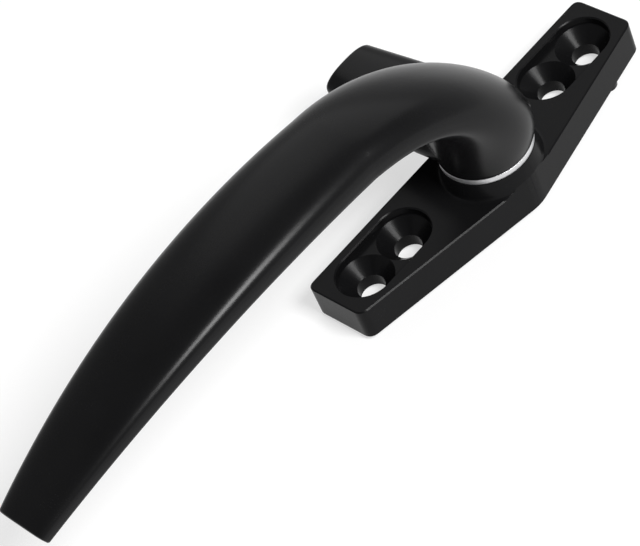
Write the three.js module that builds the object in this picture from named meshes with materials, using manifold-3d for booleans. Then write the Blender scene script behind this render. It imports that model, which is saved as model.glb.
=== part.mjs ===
// Cockspur window handle: a screwed-on base plate with a round hub, and a curved lever that turns on
// it. The lever carries a nose at right angles, which swings over the frame and clamps the window.
//
// Frame, in millimetres: the origin is where the lever's turning axis meets the mounting face.
// +Z points away from the window, the base plate runs along Y, and at rest the lever points along -Y
// with its nose along -X.

import * as THREE from 'three';
import { mergeVertices } from 'three/addons/utils/BufferGeometryUtils.js';
import Module from 'manifold-3d';

const wasm = await Module();
wasm.setup();

// ---------------------------------------------------------------- driving dimensions

// Base plate
const BASE_LENGTH = 80.6;
const BASE_THICKNESS = 7;
const STRAIGHT_SIDE_X = -12.0;   // the side that faces the window frame
const WING_END_X = 1.9;          // the other side, at the two ends of the plate
const SLANT_RADIUS = 9.9;        // the slanted sides run tangent to this circle
const CORNER_RADIUS = 1.8;
const EDGE_BEVEL = 0.25;         // chamfer round the plate's upper edge and round its pockets

// Hub that stands on the plate
const HUB_FOOT_RADIUS = 9.9;
const HUB_TOP_RADIUS = 9.4;
const HUB_TOP_Z = 11;
const HUB_FILLET = 0.9;

// Screw pockets: two screws share one pocket at each end of the plate
const SCREW_X = -4.3;
const SCREW_INNER_Y = 21.5;
const SCREW_OUTER_Y = 32.2;
const SCREW_HOLE_RADIUS = 2.75;
const POCKET_RADIUS = 5.7;
const POCKET_DEPTH = 1.6;
const COUNTERSINK_RADIUS = 5.45;

// Locating lug on the mounting face
const LUG_X = 2.0;
const LUG_Y = 30.0;
const LUG_RADIUS = 1.9;
const LUG_HEIGHT = 0.9;

// Bore and recess for the turning parts
const BORE_RADIUS = 5.2;
const FLANGE_SEAT_RADIUS = 6.9;
const FLANGE_SEAT_DEPTH = 0.9;
const RECESS_RADIUS = 7.9;
const RECESS_DEPTH = 5.6;
const STOP_POCKET_RADIUS = 9.7;
const STOP_POCKET_DEPTH = 4.8;
const STOP_TAB_RADIUS = 9.2;
const TURN_ANGLE = 90;           // degrees that the lever turns from closed to open
const STOP_TAB_ANGLE = 135;      // degrees from +X of the stop tab when the handle is closed
const STOP_TAB_HALF_WIDTH = 2.4;
const STOP_MARGIN = 2;           // degrees past each end before the tab would meet the wall

// Spindle, from its square head down to its thread
const SQUARE_SIZE = 6.6;
const SQUARE_TOP_Z = 23;
const JOURNAL_RADIUS = 4.0;
const JOURNAL_BOTTOM_Z = 4.6;
const TANG_RADIUS = 3.5;
const TANG_HALF_WIDTH = 2.7;     // half the distance across the tang's two flats
const TANG_BOTTOM_Z = 2.2;
const THREAD_RADIUS = 2.5;
const THREAD_BOTTOM_Z = 0.3;
const RUNNING_GAP = 0.15;        // between a bore and what runs in it
const SEAT_GAP = 0.05;           // between a flange and its seat
const NECK_GAP = 0.1;            // between the lever's neck and the thrust washer

// Parts stacked on the spindle, listed from the hub's top down to the mounting face
const BUSH_OUTER_RADIUS = 5.05;
const BUSH_SPLIT_Z = 7.8;
const FLANGE_RADIUS = 6.7;
const FLANGE_THICKNESS = 0.7;
const STOP_DISC_RADIUS = 7.3;
const STOP_DISC_TOP_Z = 4.5;
const STOP_DISC_BOTTOM_Z = 3.5;
const SPRING_OUTER_RADIUS = 6.8;
const SPRING_THICKNESS = 0.3;
const SPRING_CONE = 0.22;        // how much higher one edge of a disc spring stands than the other
const SPRING_MIDDLE_Z = 2.83;    // where the two disc springs meet
const SPRING_GAP = 0.03;         // from that height to each of them
const PLAIN_WASHER_RADIUS = 5.6;
const PLAIN_WASHER_BOTTOM_Z = 1.8;
const PLAIN_WASHER_TOP_Z = 2.15;
const NUT_ACROSS_FLATS = 8;
const NUT_BOTTOM_Z = 0.45;
const NUT_TOP_Z = 1.7;
const GRUB_RADIUS = 2.0;
const GRUB_POINT_RADIUS = 1.2;
const GRUB_Z = 18;
const GRUB_LENGTH = 4.9;
const GRUB_HEX_ACROSS_FLATS = 2;
const GRUB_HEX_DEPTH = 2;

// Lever
const WASHER_RADIUS = 9.25;
const WASHER_THICKNESS = 1.2;
const NECK_RADIUS = 9.3;
const NECK_BASE_Z = HUB_TOP_Z + WASHER_THICKNESS + NECK_GAP;
const ARM_START_Y = -30;
const ARM_TIP_Y = -113;
const ARM_RADIUS = 200;          // side view: the line of the arm's widest points is an arc
const ARM_APEX_Y = -51;
const ARM_APEX_Z = 42;
const ARM_MAX_HALF_WIDTH = 10.7;
const ARM_WIDEST_Y = -47.5;
const ARM_PLAN_RADIUS = 449;     // plan view: each side of the arm is an arc too
const CROWN_AT_BEND = 5.4;       // height of the rounded top above the widest points
const CROWN_AT_TIP = 2.2;
const BELLY_AT_BEND = 3.2;       // depth of the underside below them
const BELLY_AT_TIP = 1.6;
const CROWN_POWER_AT_BEND = 2.2; // 2 is a true ellipse, and more is squarer
const CROWN_POWER_AT_TIP = 3.2;
const BELLY_POWER = 4;
const TIP_BULGE = 0.6;
const TIP_RINGS = [              // rings of the pillowed end face, as shares of its size and bulge
  { size: 0.8, bulge: 0.7 },
  { size: 0.3, bulge: 1 },
];
const BACK_PULL = [14.5, 21.3];  // Y and Z that the neck's back curve leaves towards
const BACK_REACH = 23.5;         // how far ahead of the arm the back curve is drawn level
const THROAT_PULL = [-9.1, 29.3];
const THROAT_REACH = 15.4;
const SWELL_EARLY = 1.3;         // extra half width low in the bend
const SWELL_MIDDLE = 0.7;        // and halfway round it

// Nose: an oval bar that tapers away from the neck
const NOSE_LENGTH = 34.4;        // from the turning axis
const NOSE_END = { halfWidth: 6.3, halfHeight: 2.65, z: 16.2 };
const NOSE_ROOT = { halfWidth: 9.5, halfHeight: 3.1, z: 15.5 };
const NOSE_ROOT_X = -9.5;
const NOSE_NEAR_TUCK = 1.8;      // how far its -Y edge turns in, from the root to the turning axis
const NOSE_NEAR_TUCK_POWER = 1.2;
const NOSE_FAR_TUCK = 0.7;       // and its +Y edge
const NOSE_FAR_TUCK_POWER = 2;
const NOSE_POWER = 2.4;
const NOSE_EDGE_ROUND = 0.9;

// ---------------------------------------------------------------- solids and booleans

const ROUND = 48;                // facets round a hub-sized cylinder
const SMALL_ROUND = 32;
const LEVER_ROUND = 36;
const NOSE_ROUND = 28;
const BEND_STEPS = 20;
const ARM_STEPS = 20;
const MERGE_DISTANCE = 1e-4;
const BEYOND = 1;                // how far a cutting tool runs past the face that it cuts

function toSolid(geometry) {
  geometry.deleteAttribute('normal');
  geometry.deleteAttribute('uv');
  const merged = mergeVertices(geometry, MERGE_DISTANCE);
  return new wasm.Manifold(new wasm.Mesh({
    numProp: 3,
    vertProperties: new Float32Array(merged.attributes.position.array),
    triVerts: new Uint32Array(merged.index.array),
  }));
}

function toGeometry(solid) {
  const mesh = solid.getMesh();
  const geometry = new THREE.BufferGeometry();
  geometry.setAttribute('position', new THREE.BufferAttribute(mesh.vertProperties, 3));
  geometry.setIndex(new THREE.BufferAttribute(mesh.triVerts, 1));
  geometry.computeVertexNormals();
  return geometry;
}

// A solid of revolution about Z. The profile is a list of [radius, z], going up on the outside.
function turned(profile, segments = ROUND) {
  const points = profile.map(([radius, z]) => new THREE.Vector2(radius, z));
  if (!points[0].equals(points.at(-1)) && points[0].x > 0) {
    points.push(points[0].clone());
  }
  const geometry = new THREE.LatheGeometry(points, segments);
  geometry.rotateX(Math.PI / 2);
  return toSolid(geometry);
}

function cylinder(radius, bottom, top, segments = ROUND) {
  return turned([[0, bottom], [radius, bottom], [radius, top], [0, top]], segments);
}

function tube(outer, inner, bottom, top, segments = ROUND) {
  return turned([[inner, bottom], [outer, bottom], [outer, top], [inner, top]], segments);
}

// A straight prism between two heights, from an outline in the XY plane.
function prism(shape, bottom, top, curveSegments = 12) {
  const geometry = new THREE.ExtrudeGeometry(shape, {
    depth: top - bottom, bevelEnabled: false, curveSegments,
  });
  geometry.translate(0, 0, bottom);
  return toSolid(geometry);
}

// The same, with its upper and lower edges chamfered inwards.
function bevelledPrism(shape, bottom, top, bevel, curveSegments = 12) {
  const geometry = new THREE.ExtrudeGeometry(shape, {
    depth: top - bottom - 2 * bevel,
    bevelEnabled: true,
    bevelThickness: bevel,
    bevelSize: bevel,
    bevelOffset: -bevel,
    bevelSegments: 1,
    curveSegments,
  });
  geometry.translate(0, 0, bottom + bevel);
  return toSolid(geometry);
}

function box(sizeX, sizeY, bottom, top) {
  const geometry = new THREE.BoxGeometry(sizeX, sizeY, top - bottom);
  geometry.translate(0, 0, (top + bottom) / 2);
  return toSolid(geometry);
}

const radians = THREE.MathUtils.degToRad;

// ---------------------------------------------------------------- materials

function material(color, roughness, metalness) {
  return new THREE.MeshStandardMaterial({ color, roughness, metalness });
}

const satinBlack = material(0x17181a, 0.42, 0.1);
const stainless = material(0xb9bbbd, 0.28, 1.0);
const zincPlated = material(0x9a9da1, 0.38, 1.0);
const nylon = material(0xd9d6cc, 0.55, 0.0);

const handle = new THREE.Group();

function addPart(name, solid, finish) {
  const mesh = new THREE.Mesh(toGeometry(solid), finish);
  mesh.name = name;
  handle.add(mesh);
}

// ---------------------------------------------------------------- base plate

// The outline is straight on the frame side. On the other side it swells to the hub: two straight
// sides run from the ends of the plate to the circle round the hub, which they touch.
function plateOutline() {
  const halfLength = BASE_LENGTH / 2;
  const toEnd = Math.hypot(WING_END_X, halfLength);
  const endAngle = Math.atan2(halfLength, WING_END_X);
  const touchAngle = endAngle - Math.acos(SLANT_RADIUS / toEnd);
  const touch = new THREE.Vector2(Math.cos(touchAngle), Math.sin(touchAngle));
  touch.multiplyScalar(SLANT_RADIUS);
  const slant = new THREE.Vector2(WING_END_X, halfLength).sub(touch).normalize();

  const outline = new THREE.Shape();
  outline.moveTo(touch.x, -touch.y);
  outline.absarc(0, 0, SLANT_RADIUS, -touchAngle, touchAngle, false);
  outline.lineTo(WING_END_X - slant.x * CORNER_RADIUS, halfLength - slant.y * CORNER_RADIUS);
  outline.quadraticCurveTo(WING_END_X, halfLength, WING_END_X - CORNER_RADIUS, halfLength);
  outline.lineTo(STRAIGHT_SIDE_X + CORNER_RADIUS, halfLength);
  outline.quadraticCurveTo(STRAIGHT_SIDE_X, halfLength, STRAIGHT_SIDE_X, halfLength - CORNER_RADIUS);
  outline.lineTo(STRAIGHT_SIDE_X, -halfLength + CORNER_RADIUS);
  outline.quadraticCurveTo(STRAIGHT_SIDE_X, -halfLength, STRAIGHT_SIDE_X + CORNER_RADIUS, -halfLength);
  outline.lineTo(WING_END_X - CORNER_RADIUS, -halfLength);
  outline.quadraticCurveTo(WING_END_X, -halfLength,
    WING_END_X - slant.x * CORNER_RADIUS, -halfLength + slant.y * CORNER_RADIUS);
  outline.closePath();
  return outline;
}

function obround(x, y1, y2, radius) {
  const shape = new THREE.Shape();
  shape.moveTo(x + radius, y1);
  shape.lineTo(x + radius, y2);
  shape.absarc(x, y2, radius, 0, Math.PI, false);
  shape.lineTo(x - radius, y1);
  shape.absarc(x, y1, radius, Math.PI, 2 * Math.PI, false);
  return shape;
}

// A sector of a ring, from one angle to another in degrees, as room for the stop tab.
function sector(outer, inner, from, to) {
  const shape = new THREE.Shape();
  shape.absarc(0, 0, outer, radians(from), radians(to), false);
  shape.absarc(0, 0, inner, radians(to), radians(from), true);
  shape.closePath();
  return shape;
}

function screwHole(y) {
  const floor = BASE_THICKNESS - POCKET_DEPTH;
  const coneDepth = COUNTERSINK_RADIUS - SCREW_HOLE_RADIUS;
  const tool = turned([
    [0, -BEYOND],
    [SCREW_HOLE_RADIUS, -BEYOND],
    [SCREW_HOLE_RADIUS, floor - coneDepth],
    [COUNTERSINK_RADIUS, floor],
    [COUNTERSINK_RADIUS, floor + BEYOND],
    [0, floor + BEYOND],
  ], SMALL_ROUND);
  return tool.translate([SCREW_X, y, 0]);
}

function makeBasePlate() {
  // The mounting face is cut flat, so that only the upper edge keeps its bevel.
  let plate = bevelledPrism(plateOutline(), -BEYOND, BASE_THICKNESS, EDGE_BEVEL);
  plate = plate.subtract(box(2 * BASE_LENGTH, 2 * BASE_LENGTH, -2 * BEYOND, 0));

  const filletMiddle = HUB_FILLET * (1 - Math.SQRT1_2);
  const hub = turned([
    [0, BASE_THICKNESS - BEYOND],
    [HUB_FOOT_RADIUS + HUB_FILLET, BASE_THICKNESS - BEYOND],
    [HUB_FOOT_RADIUS + HUB_FILLET, BASE_THICKNESS],
    [HUB_FOOT_RADIUS + filletMiddle, BASE_THICKNESS + filletMiddle],
    [HUB_FOOT_RADIUS, BASE_THICKNESS + HUB_FILLET],
    [HUB_TOP_RADIUS, HUB_TOP_Z],
    [0, HUB_TOP_Z],
  ]);
  // The fillet runs out where the hub stands flush with the slanted sides.
  const hubRoom = prism(plateOutline(), 0, HUB_TOP_Z + BEYOND);
  plate = plate.add(hub.intersect(hubRoom));

  const stopFrom = STOP_TAB_ANGLE - STOP_MARGIN;
  const halfTab = THREE.MathUtils.radToDeg(Math.asin(STOP_TAB_HALF_WIDTH / RECESS_RADIUS));
  const cuts = [
    cylinder(BORE_RADIUS, 0, HUB_TOP_Z + BEYOND),
    cylinder(FLANGE_SEAT_RADIUS, HUB_TOP_Z - FLANGE_SEAT_DEPTH, HUB_TOP_Z + BEYOND),
    cylinder(RECESS_RADIUS, -BEYOND, RECESS_DEPTH),
    prism(sector(STOP_POCKET_RADIUS, RECESS_RADIUS - BEYOND,
      stopFrom - halfTab, stopFrom + TURN_ANGLE + 2 * STOP_MARGIN + halfTab), -BEYOND, STOP_POCKET_DEPTH),
  ];
  for (const side of [-1, 1]) {
    const inner = side * SCREW_INNER_Y;
    const outer = side * SCREW_OUTER_Y;
    const pocket = obround(SCREW_X, Math.min(inner, outer), Math.max(inner, outer), POCKET_RADIUS);
    const rim = obround(SCREW_X, Math.min(inner, outer), Math.max(inner, outer), POCKET_RADIUS + EDGE_BEVEL);
    cuts.push(prism(pocket, BASE_THICKNESS - POCKET_DEPTH, BASE_THICKNESS + BEYOND));
    cuts.push(bevelledPrism(rim, BASE_THICKNESS - EDGE_BEVEL, BASE_THICKNESS + BEYOND, EDGE_BEVEL));
    cuts.push(screwHole(inner));
    cuts.push(screwHole(outer));
  }
  for (const cut of cuts) {
    plate = plate.subtract(cut);
  }
  const lug = cylinder(LUG_RADIUS, -LUG_HEIGHT, BEYOND, SMALL_ROUND).translate([LUG_X, LUG_Y, 0]);
  return plate.add(lug);
}

// ---------------------------------------------------------------- lever

const { lerp } = THREE.MathUtils;
const ease = (t) => t * t * (3 - 2 * t);

// A closed skin over rings of points, with a fan to a centre point at each end.
function loft(rings) {
  const around = rings[0].length;
  const centreOf = (ring) => {
    const centre = new THREE.Vector3();
    ring.forEach((point) => centre.addScaledVector(point, 1 / around));
    return centre;
  };
  const points = [centreOf(rings[0]), ...rings.flat(), centreOf(rings.at(-1))];
  const triangles = [];
  const last = points.length - 1;
  const finalRing = last - around;
  for (let j = 0; j < around; j += 1) {
    const next = (j + 1) % around;
    triangles.push(0, 1 + next, 1 + j);
    triangles.push(last, finalRing + j, finalRing + next);
    for (let i = 0; i < rings.length - 1; i += 1) {
      const low = 1 + i * around;
      const high = low + around;
      triangles.push(low + j, low + next, high + next, low + j, high + next, high + j);
    }
  }
  const geometry = new THREE.BufferGeometry().setFromPoints(points);
  geometry.setIndex(triangles);
  return toSolid(geometry);
}

// How far a superellipse with the given half sizes reaches in the direction of an angle.
function reach(angle, halfWidth, halfHeight, power) {
  const across = Math.abs(Math.cos(angle) / halfWidth) ** power;
  const up = Math.abs(Math.sin(angle) / halfHeight) ** power;
  return (across + up) ** (-1 / power);
}

// The middle line of the arm, in the YZ plane, and the half width of the arm beside it.
function armLine(y) {
  const along = y - ARM_APEX_Y;
  const height = Math.sqrt(ARM_RADIUS ** 2 - along ** 2);
  return {
    centre: new THREE.Vector2(y, ARM_APEX_Z + height - ARM_RADIUS),
    up: new THREE.Vector2(along, height).normalize(),
  };
}

function armHalfWidth(y) {
  const along = y - ARM_WIDEST_Y;
  return ARM_MAX_HALF_WIDTH - ARM_PLAN_RADIUS + Math.sqrt(ARM_PLAN_RADIUS ** 2 - along ** 2);
}

// Extra half width in the bend: one swell peaks at a quarter of its length, the other halfway.
function swell(t) {
  const early = (t * (1 - t) ** 3) / (0.25 * 0.75 ** 3);
  const middle = 4 * t * (1 - t);
  return SWELL_EARLY * early + SWELL_MIDDLE * middle;
}

// The back and the throat of the bend are two free curves, from the neck's foot to the arm's start.
function bendCurve(side, pull, pullBack, depth) {
  const { centre, up } = armLine(ARM_START_Y);
  const end = centre.clone().addScaledVector(up, depth);
  const outward = new THREE.Vector2(-up.y, up.x);
  return new THREE.CubicBezierCurve(
    new THREE.Vector2(side * NECK_RADIUS, NECK_BASE_Z),
    new THREE.Vector2(...pull),
    end.clone().addScaledVector(outward, -pullBack),
    end,
  );
}

function bendStations(count) {
  const back = bendCurve(1, BACK_PULL, BACK_REACH, CROWN_AT_BEND);
  const throat = bendCurve(-1, THROAT_PULL, THROAT_REACH, -BELLY_AT_BEND);
  const bellyShare = BELLY_AT_BEND / (BELLY_AT_BEND + CROWN_AT_BEND);
  return Array.from({ length: count }, (_, i) => {
    const t = i / count;
    const low = throat.getPoint(t);
    const across = back.getPoint(t).sub(low);
    const share = lerp(0.5, bellyShare, ease(t));
    return {
      centre: low.clone().addScaledVector(across, share),
      up: across.clone().normalize(),
      halfWidth: lerp(NECK_RADIUS, armHalfWidth(ARM_START_Y), ease(t)) + swell(t),
      crown: (1 - share) * across.length(),
      belly: share * across.length(),
      crownPower: lerp(2, CROWN_POWER_AT_BEND, ease(t)),
      bellyPower: lerp(2, BELLY_POWER, ease(t)),
    };
  });
}

function armStations(count) {
  return Array.from({ length: count + 1 }, (_, i) => {
    const t = i / count;
    const y = lerp(ARM_START_Y, ARM_TIP_Y, t);
    return {
      ...armLine(y),
      halfWidth: armHalfWidth(y),
      crown: lerp(CROWN_AT_BEND, CROWN_AT_TIP, t),
      belly: lerp(BELLY_AT_BEND, BELLY_AT_TIP, t),
      crownPower: lerp(CROWN_POWER_AT_BEND, CROWN_POWER_AT_TIP, t),
      bellyPower: BELLY_POWER,
    };
  });
}

// The outline of the lever at a station: a wide oval, rounder above than below. It can be drawn
// smaller and further ahead, which makes the pillowed end face.
function leverRing(station, scale = 1, ahead = 0) {
  return Array.from({ length: LEVER_ROUND }, (_, j) => {
    const angle = (2 * Math.PI * j) / LEVER_ROUND;
    const above = Math.sin(angle) >= 0;
    const height = above ? station.crown : station.belly;
    const power = above ? station.crownPower : station.bellyPower;
    const distance = scale * reach(angle, station.halfWidth, height, power);
    const lift = distance * Math.sin(angle);
    return new THREE.Vector3(
      distance * Math.cos(angle),
      station.centre.x + station.up.x * lift - station.up.y * ahead,
      station.centre.y + station.up.y * lift + station.up.x * ahead,
    );
  });
}

function makeLeverArm() {
  const stations = [...bendStations(BEND_STEPS), ...armStations(ARM_STEPS)];
  const tip = stations.at(-1);
  const rings = stations.map((station) => leverRing(station));
  const endRings = TIP_RINGS.map(({ size, bulge }) => leverRing(tip, size, bulge * TIP_BULGE));
  return loft([...rings, ...endRings]);
}

function noseRing(x, shrink = 0) {
  const section = noseSection(x);
  const halfWidth = section.halfWidth - shrink;
  const halfHeight = section.halfHeight - shrink;
  return Array.from({ length: NOSE_ROUND }, (_, j) => {
    const angle = (-2 * Math.PI * j) / NOSE_ROUND;
    const distance = reach(angle, halfWidth, halfHeight, NOSE_POWER);
    const y = section.y + distance * Math.cos(angle);
    return new THREE.Vector3(x, y, section.z + distance * Math.sin(angle));
  });
}

// Both edges turn in past the root, the +Y one to end inside the neck and the -Y one to meet the throat.
function noseSection(x) {
  const t = (x - NOSE_ROOT_X) / (-NOSE_LENGTH - NOSE_ROOT_X);
  const inward = Math.max(1 - x / NOSE_ROOT_X, 0);
  const straightEdge = lerp(NOSE_ROOT.halfWidth, NOSE_END.halfWidth, t);
  const farEdge = straightEdge - NOSE_FAR_TUCK * inward ** NOSE_FAR_TUCK_POWER;
  const nearEdge = straightEdge - NOSE_NEAR_TUCK * inward ** NOSE_NEAR_TUCK_POWER;
  return {
    y: (farEdge - nearEdge) / 2,
    halfWidth: (farEdge + nearEdge) / 2,
    halfHeight: lerp(NOSE_ROOT.halfHeight, NOSE_END.halfHeight, Math.max(t, 0)),
    z: lerp(NOSE_ROOT.z, NOSE_END.z, Math.max(t, 0)),
  };
}

function makeNose() {
  const straightEnd = -NOSE_LENGTH + NOSE_EDGE_ROUND;
  const rootStations = [0, 0.25, 0.5, 0.75].map((t) => t * NOSE_ROOT_X);
  const taperStations = [0, 1 / 3, 2 / 3, 1].map((t) => lerp(NOSE_ROOT_X, straightEnd, t));
  const rings = [...rootStations, ...taperStations].map((x) => noseRing(x));
  for (const angle of [30, 60, 90]) {
    const x = straightEnd - NOSE_EDGE_ROUND * Math.sin(radians(angle));
    rings.push(noseRing(x, NOSE_EDGE_ROUND * (1 - Math.cos(radians(angle)))));
  }
  return loft(rings);
}

function makeLever() {
  const room = SQUARE_SIZE + 2 * RUNNING_GAP;
  const socket = box(room, room, NECK_BASE_Z - BEYOND, SQUARE_TOP_Z + RUNNING_GAP);
  const grubHole = alongY(cylinder(GRUB_RADIUS + RUNNING_GAP, 0, NECK_RADIUS + BEYOND, SMALL_ROUND));
  return makeLeverArm().add(makeNose()).subtract(socket).subtract(grubHole);
}

// Lays a piece made along Z on its side, so that it points along +Y at the grub screw's height.
function alongY(solid) {
  return solid.rotate([-90, 0, 0]).translate([0, 0, GRUB_Z]);
}

// ---------------------------------------------------------------- turning parts

function hexagon(acrossFlats) {
  const shape = new THREE.Shape();
  const radius = acrossFlats / Math.sqrt(3);
  for (let i = 0; i < 6; i += 1) {
    const angle = (i * Math.PI) / 3;
    shape[i ? 'lineTo' : 'moveTo'](radius * Math.cos(angle), radius * Math.sin(angle));
  }
  shape.closePath();
  return shape;
}

// The round tang with two flats, grown by a gap where it cuts the hole of a part that it drives.
function tang(bottom, top, gap = 0) {
  const round = cylinder(TANG_RADIUS + gap, bottom, top, SMALL_ROUND);
  return round.intersect(box(2 * (TANG_HALF_WIDTH + gap), 3 * TANG_RADIUS, bottom - BEYOND, top + BEYOND));
}

// The square head is milled on the journal's own bar, so the bar clips its corners.
function makeSpindle() {
  const lap = 0.1;
  const journalTop = NECK_BASE_Z - lap;
  return box(SQUARE_SIZE, SQUARE_SIZE, journalTop - lap, SQUARE_TOP_Z)
    .intersect(cylinder(JOURNAL_RADIUS, 0, SQUARE_TOP_Z + BEYOND, SMALL_ROUND))
    .add(cylinder(JOURNAL_RADIUS, JOURNAL_BOTTOM_Z, journalTop, SMALL_ROUND))
    .add(tang(TANG_BOTTOM_Z, JOURNAL_BOTTOM_Z + lap))
    .add(cylinder(THREAD_RADIUS, THREAD_BOTTOM_Z, TANG_BOTTOM_Z + lap, SMALL_ROUND));
}

// A grub screw with a hexagon socket, tightened on the spindle's square head from the back of the neck.
function makeGrubScrew() {
  const start = SQUARE_SIZE / 2 + RUNNING_GAP;
  const end = start + GRUB_LENGTH;
  const body = turned([
    [0, start],
    [GRUB_POINT_RADIUS, start],
    [GRUB_RADIUS, start + GRUB_RADIUS - GRUB_POINT_RADIUS],
    [GRUB_RADIUS, end],
    [0, end],
  ], SMALL_ROUND);
  return alongY(body.subtract(prism(hexagon(GRUB_HEX_ACROSS_FLATS), end - GRUB_HEX_DEPTH, end + BEYOND)));
}

function makeUpperBush() {
  const top = HUB_TOP_Z - RUNNING_GAP;
  const inner = JOURNAL_RADIUS + RUNNING_GAP;
  return turned([
    [inner, BUSH_SPLIT_Z],
    [BUSH_OUTER_RADIUS, BUSH_SPLIT_Z],
    [BUSH_OUTER_RADIUS, top - FLANGE_THICKNESS],
    [FLANGE_RADIUS, top - FLANGE_THICKNESS],
    [FLANGE_RADIUS, top],
    [inner, top],
  ]);
}

function makeLowerBush() {
  const flangeTop = RECESS_DEPTH - SEAT_GAP;
  const inner = JOURNAL_RADIUS + RUNNING_GAP;
  return turned([
    [inner, flangeTop - FLANGE_THICKNESS],
    [FLANGE_RADIUS, flangeTop - FLANGE_THICKNESS],
    [FLANGE_RADIUS, flangeTop],
    [BUSH_OUTER_RADIUS, flangeTop],
    [BUSH_OUTER_RADIUS, BUSH_SPLIT_Z - 2 * RUNNING_GAP],
    [inner, BUSH_SPLIT_Z - 2 * RUNNING_GAP],
  ]);
}

// The stop disc turns with the spindle. Its tab meets the ends of the pocket beside the recess.
function makeStopDisc() {
  const tab = box(STOP_TAB_RADIUS, 2 * STOP_TAB_HALF_WIDTH, STOP_DISC_BOTTOM_Z, STOP_DISC_TOP_Z)
    .translate([STOP_TAB_RADIUS / 2, 0, 0])
    .rotate([0, 0, STOP_TAB_ANGLE]);
  return cylinder(STOP_DISC_RADIUS, STOP_DISC_BOTTOM_Z, STOP_DISC_TOP_Z)
    .add(tab)
    .subtract(tang(STOP_DISC_BOTTOM_Z - BEYOND, STOP_DISC_TOP_Z + BEYOND, RUNNING_GAP));
}

// One disc spring: a shallow cone. The upper one rises towards its rim and the lower one falls.
function makeDiscSpring(way) {
  const inner = TANG_RADIUS + RUNNING_GAP;
  const nearInner = SPRING_MIDDLE_Z + way * SPRING_GAP;
  const nearOuter = nearInner + way * SPRING_CONE;
  const farInner = nearInner + way * SPRING_THICKNESS;
  const farOuter = nearOuter + way * SPRING_THICKNESS;
  const lower = way > 0 ? [nearInner, nearOuter] : [farInner, farOuter];
  const upper = way > 0 ? [farInner, farOuter] : [nearInner, nearOuter];
  return turned([
    [inner, lower[0]],
    [SPRING_OUTER_RADIUS, lower[1]],
    [SPRING_OUTER_RADIUS, upper[1]],
    [inner, upper[0]],
  ]);
}

function makeNut() {
  return prism(hexagon(NUT_ACROSS_FLATS), NUT_BOTTOM_Z, NUT_TOP_Z)
    .subtract(cylinder(THREAD_RADIUS + RUNNING_GAP, NUT_BOTTOM_Z - BEYOND, NUT_TOP_Z + BEYOND, SMALL_ROUND));
}

// ---------------------------------------------------------------- assembly

const washerBore = JOURNAL_RADIUS + 2 * RUNNING_GAP;
const washerTop = HUB_TOP_Z + WASHER_THICKNESS;

addPart('base_plate', makeBasePlate(), satinBlack);
addPart('hub_bush_upper', makeUpperBush(), nylon);
addPart('hub_bush_lower', makeLowerBush(), nylon);
addPart('thrust_washer', tube(WASHER_RADIUS, washerBore, HUB_TOP_Z, washerTop), stainless);
addPart('lever', makeLever(), satinBlack);
addPart('grub_screw', makeGrubScrew(), zincPlated);
addPart('spindle', makeSpindle(), zincPlated);
addPart('stop_disc', makeStopDisc(), zincPlated);
addPart('disc_spring_upper', makeDiscSpring(1), stainless);
addPart('disc_spring_lower', makeDiscSpring(-1), stainless);
addPart('plain_washer', tube(PLAIN_WASHER_RADIUS, THREAD_RADIUS + RUNNING_GAP,
  PLAIN_WASHER_BOTTOM_Z, PLAIN_WASHER_TOP_Z), zincPlated);
addPart('retaining_nut', makeNut(), zincPlated);

export default handle;
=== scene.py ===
"""A cockspur window handle: a satin black base plate and lever, a steel ring and the inner parts.

Metres. The origin is on the turning axis at the mounting face, +Z points away from the window sash,
the lever points along -Y and its nose along -X.
"""

import math

import bmesh
import bpy
import numpy as np
from mathutils import Matrix, Quaternion, Vector
from mathutils.bvhtree import BVHTree


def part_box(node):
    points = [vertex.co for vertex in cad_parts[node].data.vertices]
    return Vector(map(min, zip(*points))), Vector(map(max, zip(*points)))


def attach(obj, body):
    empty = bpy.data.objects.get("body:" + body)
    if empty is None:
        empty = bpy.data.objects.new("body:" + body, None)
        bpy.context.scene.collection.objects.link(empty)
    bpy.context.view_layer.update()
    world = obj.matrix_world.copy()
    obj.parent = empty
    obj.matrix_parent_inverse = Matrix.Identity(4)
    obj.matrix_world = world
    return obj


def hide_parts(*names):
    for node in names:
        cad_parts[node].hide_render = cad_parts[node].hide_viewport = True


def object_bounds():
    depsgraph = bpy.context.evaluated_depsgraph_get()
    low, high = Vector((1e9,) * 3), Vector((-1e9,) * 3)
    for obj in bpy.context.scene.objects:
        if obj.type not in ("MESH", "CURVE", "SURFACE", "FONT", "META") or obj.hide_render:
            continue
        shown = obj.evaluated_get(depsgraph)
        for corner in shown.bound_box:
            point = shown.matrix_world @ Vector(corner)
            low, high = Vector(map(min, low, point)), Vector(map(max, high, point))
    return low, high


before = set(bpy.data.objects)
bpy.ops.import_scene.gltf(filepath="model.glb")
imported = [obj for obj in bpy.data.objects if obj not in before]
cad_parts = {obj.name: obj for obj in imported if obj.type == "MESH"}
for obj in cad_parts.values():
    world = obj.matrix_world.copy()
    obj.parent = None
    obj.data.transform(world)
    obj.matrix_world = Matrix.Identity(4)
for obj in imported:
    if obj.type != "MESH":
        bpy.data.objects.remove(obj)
cad_low, cad_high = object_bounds()

BASE = "base"
TURNING = "turning_lever"
MM = 0.001

# ---------------------------------------------------------------- the lever's drawing, in millimetres

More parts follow.
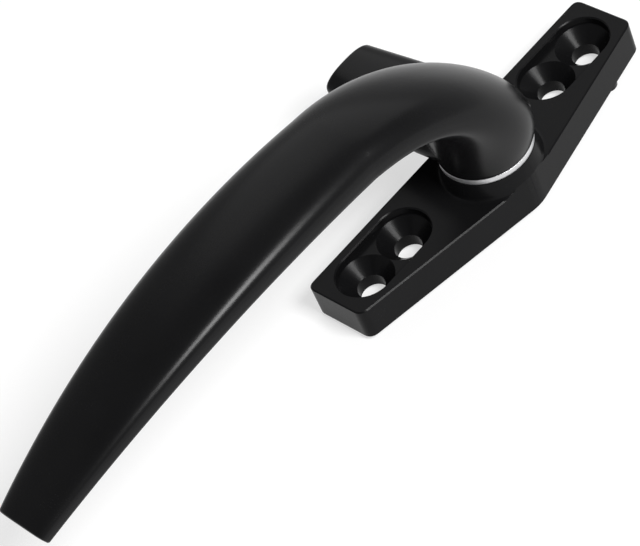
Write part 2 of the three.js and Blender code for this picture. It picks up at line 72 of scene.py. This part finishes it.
NECK_RADIUS = 9.3
NECK_EDGE_ROUND = 0.2
ARM_START_Y = -30.0
ARM_TIP_Y = -113.0
ARM_RADIUS = 200.0          # side view: the line of the arm's widest points is an arc
ARM_APEX_Y = -51.0
ARM_APEX_Z = 42.0
ARM_MAX_HALF_WIDTH = 10.7
ARM_WIDEST_Y = -47.5
ARM_PLAN_RADIUS = 449.0     # plan view: each side of the arm is an arc too
CROWN_AT_BEND = 5.4
CROWN_AT_TIP = 2.2
BELLY_AT_BEND = 3.2
BELLY_AT_TIP = 1.6
NECK_POWER = 2.0            # powers of superellipses: 2 is an ellipse, and more is squarer
CROWN_POWER_AT_BEND = 2.2
CROWN_POWER_AT_TIP = 3.2
BELLY_POWER = 4.0
TIP_EDGE_ROUND = 0.45
TIP_BULGE = 0.55
BACK_PULL = (14.5, 21.3)
BACK_REACH = 23.5
THROAT_PULL = (-9.1, 29.3)
THROAT_REACH = 15.4
SWELL_EARLY = 1.3
SWELL_MIDDLE = 0.7
EARLY_PEAK = 9.48           # brings t (1 - t)^3 up to 1 at its highest
MIDDLE_PEAK = 4             # and t (1 - t)

NOSE_END_X = -34.4
NOSE_ROOT_X = -9.5
NOSE_ROOT_HALF_WIDTH = 9.5
NOSE_END_HALF_WIDTH = 6.3
NOSE_ROOT_HALF_HEIGHT = 3.1
NOSE_END_HALF_HEIGHT = 2.65
NOSE_ROOT_Z = 15.5
NOSE_END_Z = 16.2
NOSE_POWER = 2.4
NOSE_EDGE_ROUND = 0.9
NOSE_NEAR_TUCK = 1.8        # how far its -Y edge turns in, from the root to the turning axis
NOSE_NEAR_TUCK_POWER = 1.2
NOSE_FAR_TUCK = 1.6         # and its +Y edge
NOSE_FAR_TUCK_POWER = 2
NOSE_FILLET = 0.9
FILLET_RUN_IN = 5.0         # the fillet grows over this length from the neck's middle
FILLET_SHALLOWEST = 0.1     # a gap is divided by the sine of the corner, or by this if it is more
FILLET_ROUNDS = 3           # how often the fillet's height is averaged over neighbouring points
SEAM_BLEND = 0.5            # the seam between nose and neck is smoothed this far to both sides
SEAM_ROUNDS = 3

GRUB_HOLE_RADIUS = 2.15
GRUB_Z = 18.0

BASE_EDGE_ROUND = 0.07
INNER_EDGE_ROUND = 0.06
RING_EDGE_ROUND = 0.08

# ---------------------------------------------------------------- how finely the meshes are drawn

BEND_RINGS = 96
ARM_RINGS = 72
TIP_EDGE_RINGS = 4
TIP_FACE_SHARES = (0.3, 0.6, 0.85)      # where rings lie on the tip's end face, from edge to middle
AROUND_LEVER = 160
NOSE_RINGS = 84
NOSE_EDGE_RINGS = 6
AROUND_NOSE = 96
AROUND_RING = 128
RING_EDGE_STEPS = 4
AROUND_GRUB_HOLE = 64
EASED_EDGE_STEPS = 2
MERGE_DISTANCE = 0.001                  # millimetres
FLAT_ANGLE = math.radians(0.5)          # faces that turn less than this become one
EASED_ANGLE = math.radians(24)          # edges that turn more than this are rounded
SHARP_ANGLE = math.radians(40)          # and on the lever, edges that turn more than this stay sharp
FLAT_FACE_WEIGHT = 75                   # 50 is neutral, and more lets large faces shade flat

# ---------------------------------------------------------------- meshes


def new_object(name, mesh):
    obj = bpy.data.objects.new(name, mesh)
    bpy.context.scene.collection.objects.link(obj)
    return obj


def smooth(mesh):
    mesh.shade_smooth()
    return mesh


def loft(name, rings):
    """A closed skin over rings of points, in millimetres, with a fan to a centre point at each end."""
    around = len(rings[0])
    points = np.vstack([rings[0].mean(0), *rings, rings[-1].mean(0)]) * MM
    last = len(points) - 1
    faces = []
    for j in range(around):
        k = (j + 1) % around
        faces.append((0, 1 + k, 1 + j))
        faces.append((last, last - around + j, last - around + k))
        for i in range(len(rings) - 1):
            low = 1 + i * around
            high = low + around
            faces.append((low + j, low + k, high + k, high + j))
    mesh = bpy.data.meshes.new(name)
    mesh.from_pydata(points.tolist(), [], faces)
    return new_object(name, smooth(mesh))


def lathe(name, profile, segments):
    """Turns a closed profile of (radius, z) points, in metres, round the Z axis."""
    bm = bmesh.new()
    loops = []
    for i in range(segments):
        turn = Matrix.Rotation(2 * math.pi * i / segments, 3, "Z")
        loops.append([bm.verts.new(turn @ Vector((r, 0, z))) for r, z in profile])
    for i, loop in enumerate(loops):
        following = loops[(i + 1) % segments]
        for j in range(len(profile)):
            k = (j + 1) % len(profile)
            bm.faces.new((loop[j], following[j], following[k], loop[k]))
    bmesh.ops.recalc_face_normals(bm, faces=bm.faces)
    mesh = bpy.data.meshes.new(name)
    bm.to_mesh(mesh)
    bm.free()
    return new_object(name, smooth(mesh))


def rounded(corners, radius, steps):
    """The (r, z) corners of a profile with a quarter round of the given radius put on each of them."""
    profile = []
    count = len(corners)
    for i, corner in enumerate(corners):
        here = Vector(corner)
        before = (Vector(corners[i - 1]) - here).normalized() * radius
        after = (Vector(corners[(i + 1) % count]) - here).normalized() * radius
        for step in range(steps + 1):
            angle = math.pi / 2 * step / steps
            profile.append(here + before * (1 - math.sin(angle)) + after * (1 - math.cos(angle)))
    return profile


def cut(obj, tool, operation="DIFFERENCE"):
    """Joins a second solid to a solid, or cuts it away, and removes the second one."""
    modifier = obj.modifiers.new(operation.lower(), "BOOLEAN")
    modifier.operation = operation
    modifier.solver = "EXACT"
    modifier.object = tool
    evaluated = obj.evaluated_get(bpy.context.evaluated_depsgraph_get())
    mesh = bpy.data.meshes.new_from_object(evaluated)
    obj.modifiers.clear()
    obj.data = smooth(mesh)
    bpy.data.objects.remove(tool)


def round_bar(name, radius, start, end):
    """A round bar between two points, in metres."""
    bm = bmesh.new()
    along = end - start
    place = Matrix.Translation((start + end) / 2) @ along.to_track_quat("Z", "Y").to_matrix().to_4x4()
    bmesh.ops.create_cone(bm, cap_ends=True, segments=AROUND_GRUB_HOLE, radius1=radius, radius2=radius,
                          depth=along.length, matrix=place)
    mesh = bpy.data.meshes.new(name)
    bm.to_mesh(mesh)
    bm.free()
    return new_object(name, mesh)


def eased(name, node, width):
    """A copy of a CAD node with every sharp edge rounded and its curved faces shaded smooth."""
    bm = bmesh.new()
    bm.from_mesh(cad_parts[node].data)
    bmesh.ops.remove_doubles(bm, verts=bm.verts, dist=MERGE_DISTANCE * MM)
    bmesh.ops.dissolve_limit(bm, angle_limit=FLAT_ANGLE, verts=bm.verts, edges=bm.edges)
    mesh = bpy.data.meshes.new(name)
    bm.to_mesh(mesh)
    bm.free()
    obj = new_object(name, smooth(mesh))
    bevel = obj.modifiers.new("rounded edges", "BEVEL")
    bevel.width = width
    bevel.segments = EASED_EDGE_STEPS
    bevel.limit_method = "ANGLE"
    bevel.angle_limit = EASED_ANGLE
    weighted = obj.modifiers.new("flat faces", "WEIGHTED_NORMAL")
    weighted.weight = FLAT_FACE_WEIGHT
    return obj


# ---------------------------------------------------------------- materials

COAT_DARK = (0.0042, 0.0042, 0.0045)
COAT_LIGHT = (0.0062, 0.0062, 0.0066)
COAT_GRAIN = (0.010, 0.010, 0.0103)
COAT_RUBBED = (0.035, 0.035, 0.036)
RUBBED_FROM, RUBBED_FULLY = 0.56, 0.68  # pointiness, which is 0.5 on flat faces
LEVER_SHEEN, LEVER_WEAR = 0.14, 0.2
BASE_SHEEN, BASE_WEAR = 0.08, 0.0
STEEL_BRIGHT = (0.78, 0.78, 0.79)
STEEL_DARK = (0.55, 0.55, 0.56)
STEEL_SMOOTHEST, STEEL_ROUGHEST = 0.39, 0.48
ZINC_BLUE = (0.40, 0.42, 0.46)
ZINC_STRAW = (0.52, 0.50, 0.44)
ZINC_ETCHED = (0.24, 0.25, 0.26)
NYLON_DARK = (0.58, 0.55, 0.47)
NYLON_LIGHT = (0.70, 0.68, 0.61)


class Shader:
    """A material's node tree, with short calls to add nodes and join them."""

    def __init__(self, name):
        self.material = bpy.data.materials.new(name)
        self.material.use_nodes = True
        self.nodes = self.material.node_tree.nodes
        self.links = self.material.node_tree.links
        self.surface = self.nodes["Principled BSDF"]

    def add(self, kind, inputs=None, **settings):
        node = self.nodes.new(kind)
        for key, value in settings.items():
            setattr(node, key, value)
        for key, value in (inputs or {}).items():
            self.put(node.inputs[key], value)
        return node

    def put(self, socket, value):
        if isinstance(value, bpy.types.NodeSocket):
            self.links.new(value, socket)
        else:
            socket.default_value = value

    def noise(self, vector, scale, detail=4.0, roughness=0.55):
        inputs = {"Vector": vector, "Scale": scale, "Detail": detail, "Roughness": roughness}
        return self.add("ShaderNodeTexNoise", inputs).outputs["Fac"]

    def math(self, operation, a, b=0.0):
        return self.add("ShaderNodeMath", {0: a, 1: b}, operation=operation).outputs[0]

    def spread(self, value, low, high, start=0.0, end=1.0):
        inputs = {"Value": value, "From Min": start, "From Max": end, "To Min": low, "To Max": high}
        return self.add("ShaderNodeMapRange", inputs).outputs["Result"]

    def blend(self, factor, a, b):
        node = self.add("ShaderNodeMix", data_type="RGBA")
        self.put(node.inputs["Factor"], factor)
        self.put(node.inputs["A"], (*a, 1.0) if isinstance(a, tuple) else a)
        self.put(node.inputs["B"], (*b, 1.0) if isinstance(b, tuple) else b)
        return node.outputs["Result"]

    def bump(self, height, distance, after=None):
        node = self.add("ShaderNodeBump", {"Height": height, "Distance": distance, "Strength": 1.0})
        if after is not None:
            self.put(node.inputs["Normal"], after)
        return node.outputs["Normal"]

    def set(self, **values):
        for key, value in values.items():
            self.put(self.surface.inputs[key.replace("_", " ")], value)

    def place(self):
        return self.add("ShaderNodeTexCoord").outputs["Object"]

    def edges(self, low, high):
        """0 on flat faces, rising to 1 on edges that stand proud."""
        pointiness = self.add("ShaderNodeNewGeometry").outputs["Pointiness"]
        return self.spread(pointiness, 0.0, 1.0, low, high)


def satin_black(name, sheen, wear):
    """Powder coat: a fine orange peel, slightly cloudy gloss, and edges rubbed a little lighter.

    wear needs a dense mesh, because it follows how far each point stands proud of its neighbours.
    """
    shader = Shader(name)
    place = shader.place()
    cloud = shader.noise(place, 90.0, 3.0)
    grain = shader.noise(place, 2600.0, 3.0)
    peel = shader.noise(place, 900.0, 2.0, 0.4)
    scuff = shader.math("MULTIPLY", shader.edges(RUBBED_FROM, RUBBED_FULLY), shader.noise(place, 700.0))
    scuff = shader.math("MULTIPLY", scuff, wear)
    coat = shader.blend(cloud, COAT_DARK, COAT_LIGHT)
    coat = shader.blend(shader.spread(grain, 0.0, 0.35, 0.55, 0.8), coat, COAT_GRAIN)
    coat = shader.blend(scuff, coat, COAT_RUBBED)
    gloss = shader.math("ADD", shader.spread(cloud, 0.22, 0.28), shader.spread(grain, -0.02, 0.03))
    gloss = shader.math("ADD", gloss, shader.math("MULTIPLY", scuff, 0.12))
    rough = shader.bump(peel, 0.006 * MM)
    rough = shader.bump(grain, 0.003 * MM, after=rough)
    shader.set(Base_Color=coat, Roughness=gloss, Normal=rough)
    shader.set(Specular_IOR_Level=sheen)
    return shader.material


def turned_steel():
    """Bright steel with the fine rings that turning leaves, which run round the Z axis."""
    shader = Shader("turned_stainless")
    place = shader.place()
    split = shader.add("ShaderNodeSeparateXYZ", {"Vector": place})
    x, y, z = (split.outputs[i] for i in range(3))
    square = shader.math("ADD", shader.math("MULTIPLY", x, x), shader.math("MULTIPLY", y, y))
    radius = shader.math("SQRT", square)
    along = shader.add("ShaderNodeCombineXYZ", {"X": radius, "Y": z, "Z": shader.math("MULTIPLY", x, 0.02)})
    rings = shader.noise(along.outputs["Vector"], 9000.0, 3.0, 0.7)
    cloud = shader.noise(place, 260.0, 3.0)
    tone = shader.blend(shader.spread(rings, 0.0, 1.0, 0.3, 0.7), STEEL_DARK, STEEL_BRIGHT)
    tone = shader.blend(shader.spread(cloud, 0.0, 0.35, 0.45, 0.75), tone, STEEL_DARK)
    gloss = shader.math("ADD", shader.spread(rings, -0.05, 0.07, 0.3, 0.7),
                        shader.spread(cloud, STEEL_SMOOTHEST, STEEL_ROUGHEST))
    shader.set(Base_Color=tone, Roughness=gloss, Normal=shader.bump(rings, 0.004 * MM))
    shader.set(Metallic=1.0)
    return shader.material


def zinc_plate():
    """Bright zinc: faint blue and straw clouds over a finely etched grey."""
    shader = Shader("zinc_plate")
    place = shader.place()
    cloud = shader.noise(place, 320.0, 4.0)
    etch = shader.noise(place, 5200.0, 4.0, 0.65)
    tone = shader.blend(shader.spread(cloud, 0.0, 1.0, 0.35, 0.65), ZINC_BLUE, ZINC_STRAW)
    tone = shader.blend(shader.spread(etch, 0.0, 0.4, 0.5, 0.75), tone, ZINC_ETCHED)
    gloss = shader.spread(etch, 0.30, 0.46, 0.3, 0.7)
    shader.set(Base_Color=tone, Roughness=gloss, Normal=shader.bump(etch, 0.004 * MM))
    shader.set(Metallic=1.0)
    return shader.material


def nylon():
    """Natural moulded nylon: creamy, slightly cloudy, with a fine spark-eroded skin."""
    shader = Shader("natural_nylon")
    place = shader.place()
    cloud = shader.noise(place, 420.0, 3.0)
    skin = shader.noise(place, 6000.0, 3.0, 0.6)
    tone = shader.blend(cloud, NYLON_DARK, NYLON_LIGHT)
    gloss = shader.spread(skin, 0.42, 0.60, 0.3, 0.7)
    shader.set(Base_Color=tone, Roughness=gloss, Normal=shader.bump(skin, 0.006 * MM))
    shader.set(Subsurface_Weight=0.15, Subsurface_Scale=0.6 * MM)
    return shader.material


def finish_piece(obj, material, body, node):
    obj.data.materials.clear()
    obj.data.materials.append(material)
    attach(obj, body)
    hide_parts(node)


# ---------------------------------------------------------------- lever


def ease(t):
    return t * t * (3 - 2 * t)


def lerp(a, b, t):
    return a + (b - a) * t


def arm_line(y):
    """The middle line of the arm at y: its (y, z) point and the direction that is up from it."""
    along = y - ARM_APEX_Y
    height = math.sqrt(ARM_RADIUS ** 2 - along ** 2)
    return Vector((y, ARM_APEX_Z + height - ARM_RADIUS)), Vector((along, height)).normalized()


def arm_half_width(y):
    along = y - ARM_WIDEST_Y
    return ARM_MAX_HALF_WIDTH - ARM_PLAN_RADIUS + math.sqrt(ARM_PLAN_RADIUS ** 2 - along ** 2)


def bend_curve(side, pull, pull_back, depth, foot_z):
    """The back (side 1) or the throat (side -1) of the bend, from the neck's foot to the arm's start."""
    centre, up = arm_line(ARM_START_Y)
    end = centre + up * depth
    outward = Vector((-up.y, up.x))
    knots = [Vector((side * NECK_RADIUS, foot_z)), Vector(pull), end - outward * pull_back, end]

    def point(t):
        weights = ((1 - t) ** 3, 3 * t * (1 - t) ** 2, 3 * t * t * (1 - t), t ** 3)
        return sum((knot * weight for knot, weight in zip(knots, weights)), Vector((0, 0)))

    return point


def bend_stations(foot_z, count):
    back = bend_curve(1, BACK_PULL, BACK_REACH, CROWN_AT_BEND, foot_z)
    throat = bend_curve(-1, THROAT_PULL, THROAT_REACH, -BELLY_AT_BEND, foot_z)
    belly_share = BELLY_AT_BEND / (BELLY_AT_BEND + CROWN_AT_BEND)
    stations = []
    for i in range(count):
        t = i / count
        low = throat(t)
        across = back(t) - low
        share = lerp(0.5, belly_share, ease(t))
        swell = SWELL_EARLY * EARLY_PEAK * t * (1 - t) ** 3 + SWELL_MIDDLE * MIDDLE_PEAK * t * (1 - t)
        stations.append({
            "centre": low + across * share,
            "up": across.normalized(),
            "half_width": lerp(NECK_RADIUS, arm_half_width(ARM_START_Y), ease(t)) + swell,
            "crown": (1 - share) * across.length,
            "belly": share * across.length,
            "crown_power": lerp(NECK_POWER, CROWN_POWER_AT_BEND, ease(t)),
            "belly_power": lerp(NECK_POWER, BELLY_POWER, ease(t)),
        })
    return stations


def arm_stations(count):
    stations = []
    for i in range(count + 1):
        t = i / count
        y = lerp(ARM_START_Y, ARM_TIP_Y, t)
        centre, up = arm_line(y)
        stations.append({
            "centre": centre,
            "up": up,
            "half_width": arm_half_width(y),
            "crown": lerp(CROWN_AT_BEND, CROWN_AT_TIP, t),
            "belly": lerp(BELLY_AT_BEND, BELLY_AT_TIP, t),
            "crown_power": lerp(CROWN_POWER_AT_BEND, CROWN_POWER_AT_TIP, t),
            "belly_power": BELLY_POWER,
        })
    return stations


def oval(half_width, half_height, power, angle):
    """A point of a superellipse. Even steps of the angle lie closer together at its narrow ends."""
    polar = math.atan2(half_height * math.sin(angle), half_width * math.cos(angle))
    across = abs(math.cos(polar) / half_width) ** power
    up = abs(math.sin(polar) / half_height) ** power
    distance = (across + up) ** (-1 / power)
    return distance * math.cos(polar), distance * math.sin(polar)


def lever_ring(station, inset=0.0, ahead=0.0):
    """The lever's section at a station, drawn in by inset all round and moved ahead along the lever."""
    ring = []
    centre, up = station["centre"], station["up"]
    for j in range(AROUND_LEVER):
        angle = 2 * math.pi * j / AROUND_LEVER
        above = math.sin(angle) >= 0
        height = (station["crown"] if above else station["belly"]) - inset
        power = station["crown_power"] if above else station["belly_power"]
        across, lift = oval(station["half_width"] - inset, height, power, angle)
        ring.append((
            across,
            centre.x + up.x * lift - up.y * ahead,
            centre.y + up.y * lift + up.x * ahead,
        ))
    return np.array(ring)


def quarter(steps):
    """Angles of a quarter turn, without its start."""
    return [math.pi / 2 * (i + 1) / steps for i in range(steps)]


def make_arm():
    foot_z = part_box("lever")[0].z / MM
    stations = bend_stations(foot_z, BEND_RINGS) + arm_stations(ARM_RINGS)
    foot, tip = stations[0], stations[-1]
    rings = [lever_ring(foot, NECK_EDGE_ROUND), lever_ring(foot, NECK_EDGE_ROUND / 3)]
    rings += [lever_ring(station) for station in stations[1:]]
    for angle in quarter(TIP_EDGE_RINGS):
        inset = TIP_EDGE_ROUND * (1 - math.cos(angle))
        rings.append(lever_ring(tip, inset, TIP_EDGE_ROUND * math.sin(angle)))
    for share in TIP_FACE_SHARES:
        inset = lerp(TIP_EDGE_ROUND, tip["belly"], share)
        rise = (TIP_BULGE - TIP_EDGE_ROUND) * math.sin(share * math.pi / 2)
        rings.append(lever_ring(tip, inset, TIP_EDGE_ROUND + rise))
    return loft("lever_casting", rings)


def nose_ring(x, inset=0.0):
    """Past the root the nose's edges turn in: +Y to end inside the neck, -Y to meet the throat."""
    t = (x - NOSE_ROOT_X) / (NOSE_END_X - NOSE_ROOT_X)
    inward = max(1 - x / NOSE_ROOT_X, 0)
    straight_edge = lerp(NOSE_ROOT_HALF_WIDTH, NOSE_END_HALF_WIDTH, t)
    far_edge = straight_edge - NOSE_FAR_TUCK * inward ** NOSE_FAR_TUCK_POWER
    near_edge = straight_edge - NOSE_NEAR_TUCK * inward ** NOSE_NEAR_TUCK_POWER
    y = (far_edge - near_edge) / 2
    half_width = (far_edge + near_edge) / 2
    half_height = lerp(NOSE_ROOT_HALF_HEIGHT, NOSE_END_HALF_HEIGHT, max(t, 0))
    z = lerp(NOSE_ROOT_Z, NOSE_END_Z, max(t, 0))
    ring = []
    for j in range(AROUND_NOSE):
        angle = -2 * math.pi * j / AROUND_NOSE
        across, up = oval(half_width - inset, half_height - inset, NOSE_POWER, angle)
        ring.append((x, y + across, z + up))
    return np.array(ring)


def make_nose():
    straight_end = NOSE_END_X + NOSE_EDGE_ROUND
    rings = [nose_ring(x) for x in np.linspace(0, straight_end, NOSE_RINGS)]
    for angle in quarter(NOSE_EDGE_RINGS):
        x = straight_end - NOSE_EDGE_ROUND * math.sin(angle)
        rings.append(nose_ring(x, NOSE_EDGE_ROUND * (1 - math.cos(angle))))
    return loft("nose", rings)


def skin(obj):
    """An object's surface as it is now, to measure distances from."""
    bm = bmesh.new()
    bm.from_mesh(obj.data)
    tree = BVHTree.FromBMesh(bm)
    bm.free()
    return tree


def fillet_lift(gap, corner, radius):
    """How high a ball fillet stands over one face, at a gap from the other face.

    corner is the angle between the two faces' normals. The fillet is used up to its middle only.
    """
    touch = radius * math.tan(corner / 2)
    middle = touch - radius * math.sin(corner / 2)
    along = max(gap / max(math.sin(corner), FILLET_SHALLOWEST), middle)
    if along >= touch:
        return 0.0
    return radius - math.sqrt(radius ** 2 - (touch - along) ** 2)


def flare(obj, other, radius):
    """Lifts a surface where it comes near another one, so that the two meet in a round fillet."""
    mesh = obj.data
    places = [vertex.co.copy() for vertex in mesh.vertices]
    normals = [vertex.normal.copy() for vertex in mesh.vertices]
    lift = np.zeros(len(places))
    for i, (place, outward) in enumerate(zip(places, normals)):
        hit, normal, _, _ = other.find_nearest(place, 3 * radius)
        if hit is None:
            continue
        corner = min(outward.angle(normal), math.pi / 2)
        on_nose_side = min(max(-place.x / (FILLET_RUN_IN * MM), 0), 1)
        gap = (place - hit).dot(normal)
        lift[i] = fillet_lift(gap, corner, radius) * ease(on_nose_side)
    lift = evened(mesh, lift, FILLET_ROUNDS)
    moved = np.array(places) + np.array(normals) * lift[:, None]
    mesh.vertices.foreach_set("co", moved.ravel())
    mesh.update()


def evened(mesh, values, rounds):
    """Values on a mesh's vertices, each averaged with its neighbours a few times."""
    ends = np.array([edge.vertices[:] for edge in mesh.edges])
    ends = np.vstack([ends, ends[:, ::-1]])
    neighbours = np.bincount(ends[:, 0], minlength=len(values))
    for _ in range(rounds):
        total = np.bincount(ends[:, 0], weights=values[ends[:, 1]], minlength=len(values))
        values = (values + total / neighbours) / 2
    return values


def smooth_seam(obj, first, second, width):
    """Smooths a joined solid where it lies close to both of the skins that it was joined from."""
    bm = bmesh.new()
    bm.from_mesh(obj.data)
    near = []
    for vertex in bm.verts:
        if vertex.co.x < 0 and first.find_nearest(vertex.co, width)[0] is not None:
            if second.find_nearest(vertex.co, width)[0] is not None:
                near.append(vertex)
    for _ in range(SEAM_ROUNDS):
        bmesh.ops.smooth_vert(bm, verts=near, factor=0.5, use_axis_x=True, use_axis_y=True, use_axis_z=True)
    bm.to_mesh(obj.data)
    bm.free()


def make_lever(material):
    arm, nose = make_arm(), make_nose()
    arm_skin, nose_skin = skin(arm), skin(nose)
    flare(arm, nose_skin, NOSE_FILLET * MM)
    flare(nose, arm_skin, NOSE_FILLET * MM)
    cut(arm, nose, "UNION")
    smooth_seam(arm, arm_skin, nose_skin, SEAM_BLEND * MM)
    back = Vector((0, 2 * NECK_RADIUS, GRUB_Z)) * MM
    cut(arm, round_bar("grub_hole", GRUB_HOLE_RADIUS * MM, Vector((0, 0, GRUB_Z)) * MM, back))
    arm.data.set_sharp_from_angle(angle=SHARP_ANGLE)
    finish_piece(arm, material, TURNING, "lever")


# ---------------------------------------------------------------- base plate, ring and inner parts


def make_base(material):
    plate = eased("base_casting", "base_plate", BASE_EDGE_ROUND * MM)
    finish_piece(plate, material, BASE, "base_plate")


def make_ring(material):
    low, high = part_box("thrust_washer")
    bore = min(v.co.xy.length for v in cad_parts["thrust_washer"].data.vertices)
    corners = [(bore, low.z), (high.x, low.z), (high.x, high.z), (bore, high.z)]
    profile = rounded(corners, RING_EDGE_ROUND * MM, RING_EDGE_STEPS)
    ring = lathe("steel_ring", profile, AROUND_RING)
    finish_piece(ring, material, BASE, "thrust_washer")


def make_inner_parts(steel, zinc, plastic):
    parts = [
        ("upper_bush", "hub_bush_upper", BASE, plastic, "nylon"),
        ("lower_bush", "hub_bush_lower", BASE, plastic, "nylon"),
        ("handle_grub_screw", "grub_screw", TURNING, zinc, "zinc_plated_steel"),
        ("square_spindle", "spindle", TURNING, zinc, "zinc_plated_steel"),
        ("quarter_turn_stop", "stop_disc", TURNING, zinc, "zinc_plated_steel"),
        ("upper_disc_spring", "disc_spring_upper", TURNING, steel, "stainless"),
        ("lower_disc_spring", "disc_spring_lower", TURNING, steel, "stainless"),
        ("flat_washer", "plain_washer", TURNING, zinc, "zinc_plated_steel"),
        ("spindle_nut", "retaining_nut", TURNING, zinc, "zinc_plated_steel"),
    ]
    for name, node, body, material, slot in parts:
        finish_piece(eased(name, node, INNER_EDGE_ROUND * MM), material, body, node)


# ---------------------------------------------------------------- stage

HORIZON_LIGHT = 0.60
ZENITH_LIGHT = 0.14
DARKEST_FROM = 0.9          # the height of a direction of length 1 from which the sky is darkest

FLOOR_HALF_WIDTH = 3.0
FLOOR_DARK = (0.41, 0.41, 0.41)
FLOOR_LIGHT = (0.44, 0.44, 0.44)
FLOOR_GLOW = 0.58

KEY_AZIMUTH, KEY_ELEVATION, KEY_DISTANCE = 9, 48, 1.2
KEY_SIZE = (0.42, 0.40)
KEY_WATTS = 16.0
BACK_AZIMUTH, BACK_ELEVATION, BACK_DISTANCE = 128, 42, 1.5
BACK_SIZE = (1.5, 1.0)
BACK_WATTS = 4.2

CAMERA_PLACE = (0.28122, -0.19048, 0.35195)
CAMERA_AIM = (-0.00092, -0.04235, 0.02)
CAMERA_ROLL = math.radians(-26.21)
CAMERA_CLIP = (0.05, 20.0)
SENSOR_WIDTH = 36.0         # millimetres, as is the focal length
FOCAL_LENGTH = 145.69


def make_floor(z):
    bm = bmesh.new()
    bmesh.ops.create_grid(bm, x_segments=1, y_segments=1, size=FLOOR_HALF_WIDTH)
    mesh = bpy.data.meshes.new("floor")
    bm.to_mesh(mesh)
    bm.free()
    floor = new_object("floor", mesh)
    floor.location.z = z
    shader = Shader("floor_white")
    tone = shader.blend(shader.noise(shader.place(), 3.0), FLOOR_DARK, FLOOR_LIGHT)
    shader.set(Base_Color=tone, Roughness=0.9, Specular_IOR_Level=0.1)
    shader.set(Emission_Color=(1, 1, 1, 1), Emission_Strength=FLOOR_GLOW)
    mesh.materials.append(shader.material)


def area_light(name, place, aim, size, power):
    data = bpy.data.lights.new(name, "AREA")
    data.shape = "RECTANGLE"
    data.size, data.size_y = size
    data.energy = power
    lamp = new_object(name, data)
    lamp.location = place
    lamp.rotation_mode = "QUATERNION"
    lamp.rotation_quaternion = (Vector(aim) - Vector(place)).to_track_quat("-Z", "Y")
    return lamp


def towards(azimuth, elevation, distance):
    """A place at a distance from the handle's middle, with the azimuth counted from +X towards +Y."""
    a, e = math.radians(azimuth), math.radians(elevation)
    away = Vector((math.cos(a) * math.cos(e), math.sin(a) * math.cos(e), math.sin(e)))
    return (cad_low + cad_high) / 2 + away * distance


def make_world():
    """A studio that is bright near the ground and dark overhead."""
    world = bpy.data.worlds.new("studio")
    world.use_nodes = True
    nodes, links = world.node_tree.nodes, world.node_tree.links
    direction = nodes.new("ShaderNodeTexCoord")
    split = nodes.new("ShaderNodeSeparateXYZ")
    fade = nodes.new("ShaderNodeMapRange")
    fade.inputs["From Min"].default_value = 0.0
    fade.inputs["From Max"].default_value = DARKEST_FROM
    fade.inputs["To Min"].default_value = HORIZON_LIGHT
    fade.inputs["To Max"].default_value = ZENITH_LIGHT
    links.new(direction.outputs["Generated"], split.inputs["Vector"])
    links.new(split.outputs["Z"], fade.inputs["Value"])
    links.new(fade.outputs["Result"], nodes["Background"].inputs["Strength"])
    nodes["Background"].inputs["Color"].default_value = (1, 1, 1, 1)
    bpy.context.scene.world = world


def make_lights():
    middle = (cad_low + cad_high) / 2
    key_place = towards(KEY_AZIMUTH, KEY_ELEVATION, KEY_DISTANCE)
    back_place = towards(BACK_AZIMUTH, BACK_ELEVATION, BACK_DISTANCE)
    area_light("key_softbox", key_place, middle, KEY_SIZE, KEY_WATTS)
    area_light("back_bank", back_place, middle, BACK_SIZE, BACK_WATTS)


def make_camera():
    data = bpy.data.cameras.new("camera")
    data.sensor_width = SENSOR_WIDTH
    data.lens = FOCAL_LENGTH
    data.clip_start, data.clip_end = CAMERA_CLIP
    camera = new_object("camera", data)
    camera.location = CAMERA_PLACE
    level = (Vector(CAMERA_AIM) - Vector(CAMERA_PLACE)).to_track_quat("-Z", "Y")
    camera.rotation_mode = "QUATERNION"
    camera.rotation_quaternion = level @ Quaternion((0, 0, 1), CAMERA_ROLL)
    bpy.context.scene.camera = camera


steel = turned_steel()
make_lever(satin_black("satin_black_lever", LEVER_SHEEN, LEVER_WEAR))
make_base(satin_black("satin_black_base", BASE_SHEEN, BASE_WEAR))
make_ring(steel)
make_inner_parts(steel, zinc_plate(), nylon())
make_floor(cad_low.z)
make_world()
make_lights()
make_camera()
bpy.context.scene.view_settings.view_transform = "Standard"
